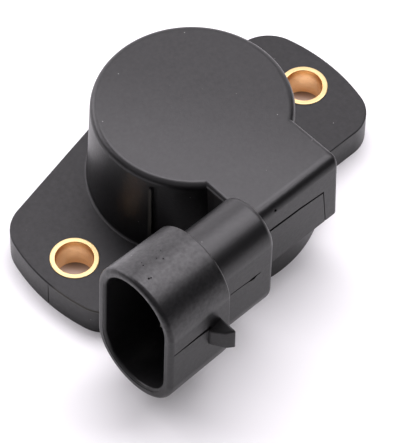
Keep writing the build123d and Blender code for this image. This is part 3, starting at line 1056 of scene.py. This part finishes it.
@dataclass
class WitnessMarks:
    """Fine marks that the mould leaves: slits on the flat faces, a step on the cup's wall and a few pits."""

    block_face: float = -21.1
    neck_face: float = -25.25
    shroud_face: float = -27.72
    depth: float = 0.32
    side_depth: float = 0.08
    dot_depth: float = 0.6
    clearance: float = 0.4
    step: float = 30.0
    dot_radius: float = 0.22
    dot_place: Point = (-3.91, 19.58)
    block_slit: Loop = (
        (-5.3, 15.80), (-5.3, 16.28), (1.0, 16.01), (5.6, 15.50), (5.6, 15.18), (1.0, 15.58),
    )
    block_side: Loop = ((5.45, 15.4), (5.62, 15.4), (6.14, 8.0), (6.02, 8.0))
    neck_slit: Loop = (
        (-16.7, 16.05), (-16.7, 16.24), (-13.0, 16.02), (-12.5, 16.12), (-11.6, 16.05), (-10.8, 15.99),
        (-10.8, 15.87), (-11.6, 15.80), (-12.1, 15.50), (-12.7, 15.55), (-13.2, 15.82),
    )
    shroud_slit: Loop = (
        (-29.8, 16.98), (-29.8, 17.18), (-25.0, 17.26), (-22.8, 17.36), (-22.8, 16.44), (-25.0, 16.76),
    )
    end_slit: Strip = Strip(181.1755, 181.4155, 28.63, 29.15, -0.5, 4.7)
    rib: Strip = Strip(202.2, 203.7, 13.85, 14.97, 5.2, 18.9)
    groove: Strip = Strip(204.0, 206.8, 14.4, 16.35, 5.3, 19.2)
    pits: tuple[tuple[float, float, float], ...] = (
        (-28.3, -21.1, 0.20), (-28.0, -21.2, 0.16), (-24.6, -20.0, 0.15), (-27.3, -18.9, 0.15),
        (-27.1, -18.4, 0.13), (-25.2, -19.3, 0.13), (-23.8, -18.6, 0.12),
    )
    pit_profile: Loop = ((0.2, 26.60), (0.7, 26.72), (0.9, 28.0))

    def slit(self, face: float, outline: Sequence[Point], depth: float) -> Solid:
        """Slit in a face that looks along -Y, from its outline on X and Z."""
        rings = [[Vector((x, y, z)) for x, z in outline] for y in (face - self.clearance, face + depth)]
        return Solid("slit", rings)

    def mark(self, body: Solid) -> None:
        """Cuts the marks into the housing.

        Args:
            body: the housing, which takes the marks.
        """
        for face, outline, depth in (
            (self.block_face, self.block_slit, self.depth),
            (self.block_face, self.block_side, self.side_depth),
            (self.block_face, circle(self.dot_radius, *self.dot_place, self.step), self.dot_depth),
            (self.neck_face, self.neck_slit, self.depth),
            (self.shroud_face, self.shroud_slit, self.depth),
        ):
            body.combine(self.slit(face, outline, depth), Fuse.CUT)
        for strip, how in ((self.end_slit, Fuse.CUT), (self.rib, Fuse.JOIN), (self.groove, Fuse.CUT)):
            body.combine(strip.solid(), how)
        for x, y, radius in self.pits:
            cone = [level(circle(radius * share, x, y, self.step), z) for share, z in self.pit_profile]
            body.combine(Solid("pit", cone), Fuse.CUT)


@dataclass
class Housing:
    """The black moulding: flange, cup, block and connector in one piece."""

    flange: Flange = field(default_factory=Flange)
    cup: Cup = field(default_factory=Cup)
    connector: Connector = field(default_factory=Connector)
    interior: Interior = field(default_factory=Interior)
    marks: WitnessMarks = field(default_factory=WitnessMarks)

    def build(self, finish: Material) -> Piece:
        """Builds the moulding and dresses it.

        Args:
            finish: material of the moulding.

        Returns:
            The piece.
        """
        body = self.flange.solid()
        body.combine(self.cup.solid(self.flange.thickness, self.flange.land_radius), Fuse.JOIN)
        body.combine(self.connector.shroud(), Fuse.JOIN)
        body.combine(self.connector.neck(), Fuse.JOIN)
        body.combine(self.connector.cavity(), Fuse.CUT)
        body.combine(self.connector.nub(), Fuse.JOIN)
        half = self.flange.bolt_spacing / 2
        self.interior.carve(body, (-half, half))
        self.marks.mark(body)
        piece = body.finish("housing_moulding")
        piece.data.materials.append(finish)
        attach(piece, BODY)
        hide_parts("housing")
        return piece


@dataclass
class Bush:
    """Turned brass bush of one flange ear, in millimetres."""

    node: str
    x: float
    bore: float = 2.8
    wall: float = 0.8
    length: float = 5.12
    groove_depth: float = 0.34
    groove_levels: tuple[float, float] = (1.79, 3.21)
    chamfer: float = 0.07
    edge: float = 0.13
    flat: float = 0.05
    edge_share: float = 0.3
    chamfer_share: float = 0.35
    crease: float = 35.0

    def profile(self) -> list[Point]:
        """Profile of the bush, up the outside, over the top and down the bore.

        Returns:
            Radius and height of each ring.
        """
        outer = self.bore + self.wall
        top = self.length
        ring = self.bore + self.chamfer
        low, high = self.groove_levels
        neck = outer - self.groove_depth
        edge = self.edge * self.edge_share
        chamfer = self.chamfer * self.chamfer_share
        return [
            (outer, self.edge), (outer, low), (neck, low), (neck, high), (outer, high),
            (outer, top - self.edge), (outer - edge, top - edge), (outer - self.edge, top),
            (outer - self.edge - self.flat, top),
            (ring + self.flat, top), (ring, top), (self.bore + chamfer, top - chamfer),
            (self.bore, top - self.chamfer), (self.bore, top - self.chamfer - self.flat),
            (self.bore, self.chamfer), (ring, 0.0), (outer - self.edge, 0.0),
        ]

    def build(self, finish: Material) -> Piece:
        """Builds the bush and dresses it.

        Args:
            finish: material of the bush.

        Returns:
            The piece.
        """
        mesh = bmesh.new()
        skin(mesh, [level(circle(radius, self.x), z) for radius, z in self.profile()], closed=True)
        piece = show(self.node + "_turned", mesh)
        piece.data.transform(Matrix.Scale(MM, 4))
        piece.data.shade_smooth()
        piece.data.set_sharp_from_angle(angle=radians(self.crease))
        piece.data.materials.append(finish)
        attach(piece, BODY)
        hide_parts(self.node)
        return piece


class PathSweep:
    """Node tree that sweeps a round section along a path and gives it its finish."""

    def __init__(self) -> None:
        """Builds the tree with its named inputs."""
        self.group = bpy.data.node_groups.new("round_section_on_path", "GeometryNodeTree")
        face = self.group.interface
        inputs = {"Path": "Geometry", "Section Radius": "Float", "Section Sides": "Int", "Finish": "Material"}
        self.keys = {}
        for name, kind in inputs.items():
            made = face.new_socket(name, in_out="INPUT", socket_type="NodeSocket" + kind)
            self.keys[name] = made.identifier
        face.new_socket("Swept", in_out="OUTPUT", socket_type="NodeSocketGeometry")
        tree = Tree(self.group)
        given = tree.node("NodeGroupInput", {}, {}).outputs
        section = tree.node("GeometryNodeCurvePrimitiveCircle", {},
                            {"Resolution": given["Section Sides"], "Radius": given["Section Radius"]})
        sweep = tree.node("GeometryNodeCurveToMesh", {}, {
            "Curve": given["Path"], "Profile Curve": section.outputs["Curve"], "Fill Caps": True})
        smooth = tree.node("GeometryNodeSetShadeSmooth", {}, {"Geometry": sweep.outputs[0]})
        dress = tree.node("GeometryNodeSetMaterial", {},
                          {"Geometry": smooth.outputs[0], "Material": given["Finish"]})
        tree.node("NodeGroupOutput", {}, {"Swept": dress.outputs[0]})

    def run(self, name: str, path: Sequence[Vector], closed: bool, radius: float, sides: int,
            finish: Material) -> Piece:
        """Sweeps the section along a path.

        Args:
            name: name of the piece.
            path: points of the path, in metres.
            closed: whether the path runs back to its start.
            radius: radius of the section, in metres.
            sides: number of sides of the section.
            finish: material of the piece.

        Returns:
            The piece, as a plain mesh.
        """
        line = bpy.data.curves.new(name + "_path", "CURVE")
        line.dimensions = "3D"
        spline = line.splines.new("POLY")
        spline.points.add(len(path) - 1)
        for point, place in zip(spline.points, path):
            point.co = (*place, 1.0)
        spline.use_cyclic_u = closed
        holder = link(name + "_path", line)
        modifier = holder.modifiers.new("sweep", "NODES")
        modifier.node_group = self.group
        for key, given in (("Section Radius", radius), ("Section Sides", sides), ("Finish", finish)):
            modifier[self.keys[key]] = given
        graph = bpy.context.evaluated_depsgraph_get()
        data = bpy.data.meshes.new_from_object(holder.evaluated_get(graph))
        bpy.data.objects.remove(holder)
        bpy.data.curves.remove(line)
        mesh = bmesh.new()
        mesh.from_mesh(data)
        bpy.data.meshes.remove(data)
        piece = show(name, mesh)
        piece.data.materials.append(finish)
        return piece


@dataclass
class SealRing:
    """Rubber ring in the groove of the mounting face, in millimetres."""

    radius: float = 14.85
    section: float = 0.75
    lift: float = 0.02
    points: int = 144
    sides: int = 20

    def build(self, sweep: PathSweep, finish: Material) -> Piece:
        """Sweeps the ring and dresses it.

        Args:
            sweep: the sweeping tree.
            finish: material of the ring.

        Returns:
            The piece.
        """
        z = self.section + self.lift
        path = [Vector((x, y, z)) * MM for x, y in circle(self.radius, step=360.0 / self.points)]
        piece = sweep.run("seal_ring_rubber", path, True, self.section * MM, self.sides, finish)
        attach(piece, BODY)
        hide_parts("seal_ring")
        return piece


@dataclass
class ReturnSpring:
    """Torsion spring round the rotor's hub, with a straight leg at each end, in millimetres."""

    radius: float = 7.2
    wire: float = 0.35
    turns: float = 5.5
    low: float = 4.75
    high: float = 11.45
    start: float = 200.0
    lower_leg: float = 7.0
    upper_leg: float = 5.5
    per_turn: int = 48
    sides: int = 12

    def path(self) -> list[Vector]:
        """Centre line of the wire, from the lower leg's end to the upper one's.

        Returns:
            The points, in metres.
        """
        count = round(self.turns * self.per_turn)
        points = []
        for k in range(count + 1):
            turn = radians(self.start + 360.0 * self.turns * k / count)
            z = self.low + (self.high - self.low) * k / count
            points.append(Vector((self.radius * cos(turn), self.radius * sin(turn), z)))
        first = points[0] - (points[1] - points[0]).normalized() * self.lower_leg
        last = points[-1] + (points[-1] - points[-2]).normalized() * self.upper_leg
        return [point * MM for point in (first, *points, last)]

    def build(self, sweep: PathSweep, finish: Material) -> Piece:
        """Sweeps the spring and dresses it.

        Args:
            sweep: the sweeping tree.
            finish: material of the wire.

        Returns:
            The piece.
        """
        piece = sweep.run("return_spring_wire", self.path(), False, self.wire * MM, self.sides, finish)
        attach(piece, BODY)
        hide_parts("return_spring")
        return piece


@dataclass
class InnerPieces:
    """Pieces whose solids show as they are and only take a finish."""

    nodes: dict[str, Piece]

    def dress(self, name: str, finish: Material) -> None:
        """Gives a solid its finish.

        Args:
            name: name of the solid's node.
            finish: its material.
        """
        data = self.nodes[name].data
        data.materials.clear()
        data.materials.append(finish)


# Studio

@dataclass(frozen=True)
class Lamp:
    """Soft rectangular lamp, with angles in degrees, size in metres and power in watts.

    Its elevation is taken from the floor, and its azimuth from the far side of the picture to the right.
    """

    name: str
    elevation: float
    azimuth: float
    size: Point
    power: float
    roll: float = 0.0


@dataclass
class Studio:
    """Pale floor, soft lamps and the camera of the picture."""

    azimuth: float = 44.46
    elevation: float = 53.13
    roll: float = 1.14
    focal_px: float = 3540.4
    distance: float = 515.7
    aim_height: float = 5.0
    shift_px: Point = (-8.766, -51.038)
    image: tuple[int, int] = (400, 443)
    sensor: float = 36.0
    clip: Point = (0.02, 20.0)
    fill: float = 0.1
    gloom: float = 0.02
    # A broad lamp above, a lit backdrop, a weaker lamp at the left and a faint one in front
    lamps: tuple[Lamp, ...] = (
        Lamp("overhead", 68.0, 30.0, (1.15, 0.43), 8.6, 14.0),
        Lamp("backdrop", 24.0, -10.0, (1.8, 0.6), 6.0),
        Lamp("side", 28.0, -62.0, (0.6, 0.5), 3.2),
        Lamp("front", 58.0, -148.0, (1.0, 0.9), 1.3),
    )
    lamp_tint: Colour = (1.0, 0.955, 1.015)
    lamp_distance: float = 0.8
    lamp_target: float = 0.01
    floor_half: float = 2.5
    floor_drop: float = 0.00002
    floor_roughness: float = 0.9
    floor_gloss: float = 0.1
    floor_colour: Colour = (0.94, 0.94, 0.94)
    floor_shown: Colour = (0.92, 0.92, 0.92)
    floor_glow: Colour = (0.05, 0.048, 0.051)
    # Tones of the painted shade on the floor seen inside the bushes
    bore_lit: Colour = (0.80, 0.75, 0.75)
    bore_dark: Colour = (0.24, 0.21, 0.20)
    bore_edge: Point = (3.2, 4.0)
    bore_way: Point = (0.70, 0.71)
    bore_shade: Point = (0.9, 2.8)

    def axes(self) -> tuple[Vector, Vector, Vector]:
        """Directions of the view about the rotor axis.

        Returns:
            Right, up and back.
        """
        a, e, r = (radians(v) for v in (self.azimuth, self.elevation, self.roll))
        right = Vector((cos(a), -sin(a), 0.0))
        back = Vector((-sin(a) * cos(e), -cos(a) * cos(e), sin(e)))
        up = back.cross(right)
        return (cos(r) * right + sin(r) * up, cos(r) * up - sin(r) * right, back)

    def camera(self) -> None:
        """Makes the camera, turned so that the picture needs no lens shift."""
        right, up, back = self.axes()
        gaze = -back - right * (self.shift_px[0] / self.focal_px) + up * (self.shift_px[1] / self.focal_px)
        rear = -gaze.normalized()
        side = (right - rear * right.dot(rear)).normalized()
        lens = bpy.data.cameras.new("camera")
        lens.sensor_width = self.sensor
        lens.lens = self.focal_px / max(self.image) * self.sensor
        lens.clip_start, lens.clip_end = self.clip
        holder = link("camera", lens)
        turn = Matrix((side, rear.cross(side), rear)).transposed()
        place = back * (self.distance * MM) + Vector((0.0, 0.0, self.aim_height * MM))
        holder.matrix_world = Matrix.Translation(place) @ turn.to_4x4()
        bpy.context.scene.camera = holder

    def floor(self) -> None:
        """Makes the floor: pale, lifted a little where the camera sees it, and with painted shade inside the
        bushes, darker towards their far side.
        """
        half = self.floor_half
        mesh = bpy.data.meshes.new("floor")
        corners = [(-half, -half, 0), (half, -half, 0), (half, half, 0), (-half, half, 0)]
        mesh.from_pydata(corners, [], [(0, 1, 2, 3)])
        ground = link("floor", mesh)
        ground.location.z = -self.floor_drop
        paint = Paint("pale_floor")
        # Painted shade on the floor seen through the bushes: its colour darkens towards their far side, and
        # the glow is left off there
        across = paint.x - (paint.x.rise(-0.5, 0.5) * BOLT_SPACING - BOLT_SPACING / 2)
        open_floor = across.span(paint.y).rise(*self.bore_edge)
        shade = (across * self.bore_way[0] + paint.y * self.bore_way[1]).rise(*self.bore_shade)
        paint.feed("Roughness", self.floor_roughness)
        paint.feed("Specular IOR Level", self.floor_gloss)
        path = paint.node("ShaderNodeLightPath", {}, {})
        camera = Value(paint, path.outputs["Is Camera Ray"])
        bore_painted_shade = paint.blend(shade, self.bore_lit, self.bore_dark)
        shown = paint.blend(open_floor, bore_painted_shade, self.floor_shown)
        paint.feed("Base Color", paint.blend(camera, self.floor_colour, shown))
        seen = camera * open_floor
        glow = paint.node("ShaderNodeEmission", {}, {"Color": self.floor_glow, "Strength": seen})
        both = paint.node("ShaderNodeAddShader", {}, {0: paint.surface.outputs[0], 1: glow.outputs[0]})
        paint.plug(paint.output.inputs["Surface"], both.outputs[0])
        mesh.materials.append(paint.material)

    def lights(self) -> None:
        """Makes the lamps, each turned to the object."""
        for lamp in self.lamps:
            light = bpy.data.lights.new(lamp.name, "AREA")
            light.shape = "RECTANGLE"
            light.size, light.size_y = lamp.size
            light.energy = lamp.power
            light.color = self.lamp_tint
            holder = link(lamp.name, light)
            holder.location = self.place(lamp)
            holder.rotation_mode = "QUATERNION"
            facing = (Vector((0.0, 0.0, self.lamp_target)) - holder.location).to_track_quat("-Z", "Y")
            holder.rotation_quaternion = facing @ Quaternion((0.0, 0.0, 1.0), radians(lamp.roll))

    def place(self, lamp: Lamp) -> Vector:
        """Place of a lamp about the object.

        Args:
            lamp: the lamp.

        Returns:
            Where it hangs, in metres.
        """
        right, _, back = self.axes()
        far = Vector((-back.x, -back.y, 0.0)).normalized()
        across = Vector((right.x, right.y, 0.0)).normalized()
        tilt, turn = radians(lamp.elevation), radians(lamp.azimuth)
        flat = far * cos(turn) + across * sin(turn)
        return (flat * cos(tilt) + Vector((0.0, 0.0, sin(tilt)))) * self.lamp_distance

    def backdrop(self, tree: Tree, strength: float) -> Socket:
        """Plain white background of a strength."""
        plain = tree.node("ShaderNodeBackground", {}, {"Color": (1.0, 1.0, 1.0), "Strength": strength})
        return plain.outputs[0]

    def world(self) -> None:
        """Makes a surround that is white to the camera, dark in reflections and a soft fill otherwise."""
        sky = bpy.data.worlds.new("surround")
        sky.use_nodes = True
        tree = Tree(sky.node_tree)
        path = tree.node("ShaderNodeLightPath", {}, {}).outputs
        shown = self.backdrop(tree, self.fill)
        for ray, strength in (("Is Glossy Ray", self.gloom), ("Is Camera Ray", 1.0)):
            sockets = {0: path[ray], 1: shown, 2: self.backdrop(tree, strength)}
            shown = tree.node("ShaderNodeMixShader", {}, sockets).outputs[0]
        tree.node("ShaderNodeOutputWorld", {}, {"Surface": shown})
        bpy.context.scene.world = sky


def main() -> None:
    """Builds the sensor, dresses it and sets up the picture."""
    logging.basicConfig(level=logging.INFO, format="%(name)s: %(message)s")
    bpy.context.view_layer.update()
    finishes = Finishes()
    piece = Housing().build(finishes.moulding.material())
    log.info("%s: %d faces", piece.name, len(piece.data.polygons))
    brass = finishes.brass.material()
    for bush in (Bush("left_bush", -BOLT_SPACING / 2), Bush("right_bush", BOLT_SPACING / 2)):
        log.info("%s", bush.build(brass).name)
    sweep = PathSweep()
    log.info("%s", SealRing().build(sweep, finishes.rubber.material()).name)
    log.info("%s", ReturnSpring().build(sweep, finishes.steel.material()).name)
    inner = InnerPieces(frame["nodes"])
    tin = finishes.tin.material()
    silver = finishes.silver.material()
    coats = {
        "terminal_supply": tin, "terminal_signal": tin, "terminal_ground": tin,
        "track_board": finishes.board.material(), "resistor_track": finishes.ink.material(),
        "supply_trace": silver, "ground_trace": silver, "collector_track": silver,
        "rotor": finishes.rotor.material(), "wiper": finishes.bronze.material(),
        "base_cover": bpy.data.materials["black_moulding"],
    }
    for name, coat in coats.items():
        inner.dress(name, coat)
        log.info("%s takes %s", name, coat.name)
    studio = Studio()
    studio.floor()
    studio.lights()
    studio.world()
    studio.camera()
    bpy.context.scene.view_settings.view_transform = "Standard"


if __name__ == "__main__":
    main()
